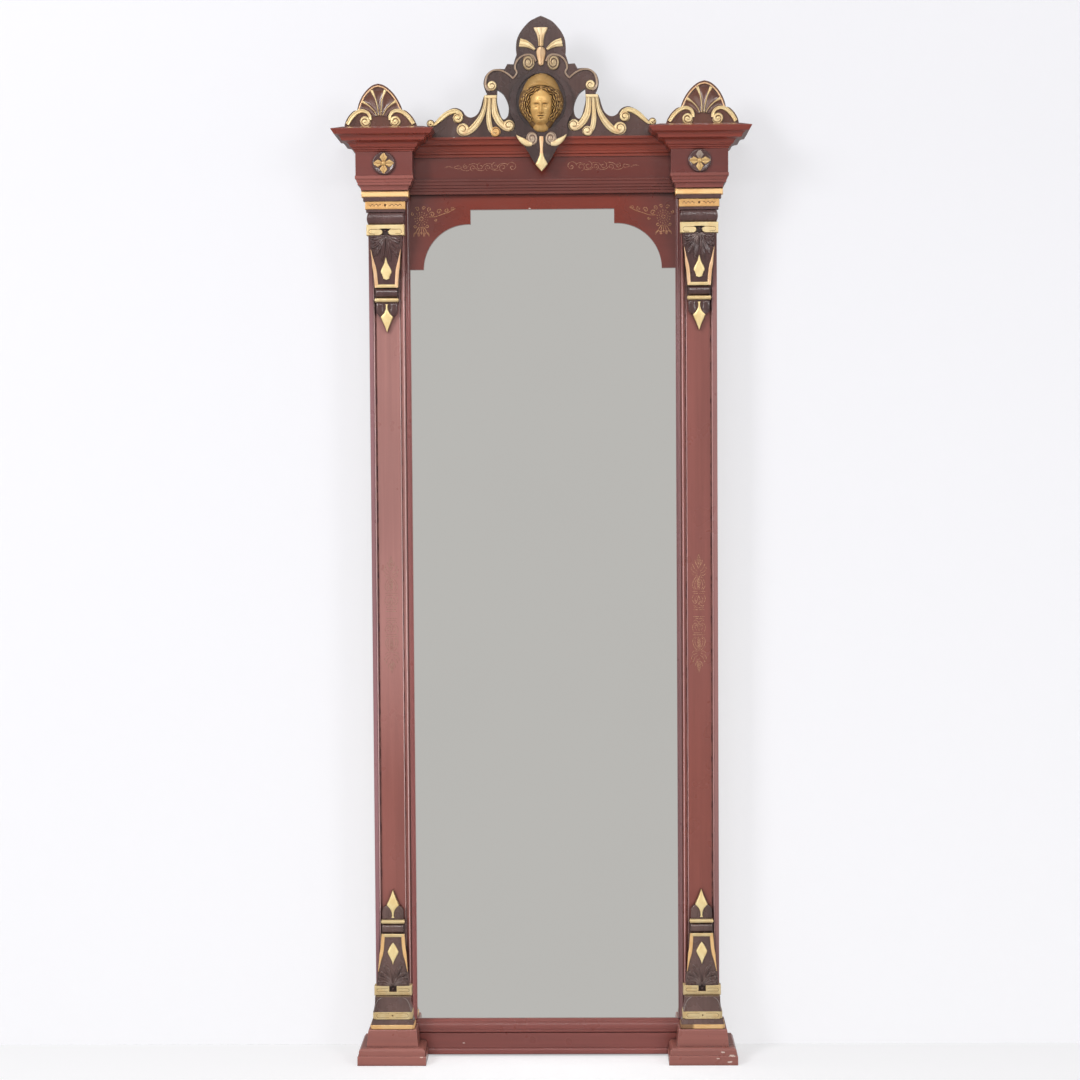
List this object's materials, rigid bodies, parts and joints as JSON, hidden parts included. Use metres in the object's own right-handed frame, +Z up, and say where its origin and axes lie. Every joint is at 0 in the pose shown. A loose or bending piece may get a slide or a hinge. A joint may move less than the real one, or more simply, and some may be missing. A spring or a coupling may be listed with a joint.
{
  "type": "pier mirror",
  "caption": "Tall pier mirror: silvered glass in a red-stained frame with capped pilasters, gilt and ebonised brackets, a moulded entablature and a carved crest with a mask.",
  "frame": {"origin": "middle of the foot of the object's box, on the floor", "axes": "+X to the viewer's right, +Z up, +Y back towards the wall; the glass faces -Y"},
  "size_m": [1.06, 0.172, 2.686],
  "materials": {
    "red_wood": "red-brown stain under a satin to gloss spirit varnish",
    "ebonised_wood": "dark purplish-brown ebonised finish, satin",
    "gilt": "worn gold leaf on carved wood, red ground showing at the edges",
    "mask_gilt": "antique gold with darker hollows",
    "pine": "bare aged softwood",
    "iron": "dull dark iron",
    "mirror_glass": "old silvered plate glass, slightly grey"
  },
  "bodies": {
    "root": {"stile_left": "pine", "stile_right": "pine", "top_rail": "pine", "bottom_rail": "pine", "back_boards": "pine", "back_nails": "iron", "glass_wedges": "pine", "mirror_glass": "mirror_glass", "pilaster_board_left": "red_wood", "pilaster_board_right": "red_wood", "edge_moulding_left": "red_wood", "edge_moulding_right": "red_wood", "panel_bead_left": "red_wood", "panel_bead_right": "red_wood", "sight_moulding_left": "red_wood", "sight_moulding_right": "red_wood", "rail_face": "red_wood", "rail_moulding": "red_wood", "foot_bead": "red_wood", "spandrel_board": "red_wood", "architrave": "red_wood", "frieze": "red_wood", "cornice": "red_wood", "plinth_left": "red_wood", "plinth_right": "red_wood", "foot_bracket_left": "ebonised_wood", "foot_bracket_right": "ebonised_wood", "foot_gilding_left": "gilt", "foot_gilding_right": "gilt", "head_bracket_left": "ebonised_wood", "head_bracket_right": "ebonised_wood", "head_gilding_left": "gilt", "head_gilding_right": "gilt", "bed_moulding_left": "red_wood", "bed_moulding_right": "red_wood", "cap_block_left": "red_wood", "cap_block_right": "red_wood", "cap_crown_left": "red_wood", "cap_crown_right": "red_wood", "rosette_disc_left": "ebonised_wood", "rosette_disc_right": "ebonised_wood", "rosette_flower_left": "gilt", "rosette_flower_right": "gilt", "leaf_fan_left": "ebonised_wood", "leaf_fan_right": "ebonised_wood", "fan_gilding_left": "gilt", "fan_gilding_right": "gilt", "crest_board": "ebonised_wood", "crest_shield": "ebonised_wood", "crest_mask": "mask_gilt", "crest_rim": "gilt", "crest_drapes": "gilt", "crest_end_scrolls": "gilt", "crest_palmette": "gilt", "crest_pendant": "gilt", "crest_blocks": "pine", "dowels": "pine", "wall_plates": "iron", "plate_screws": "iron"}
  },
  "joints": []
}
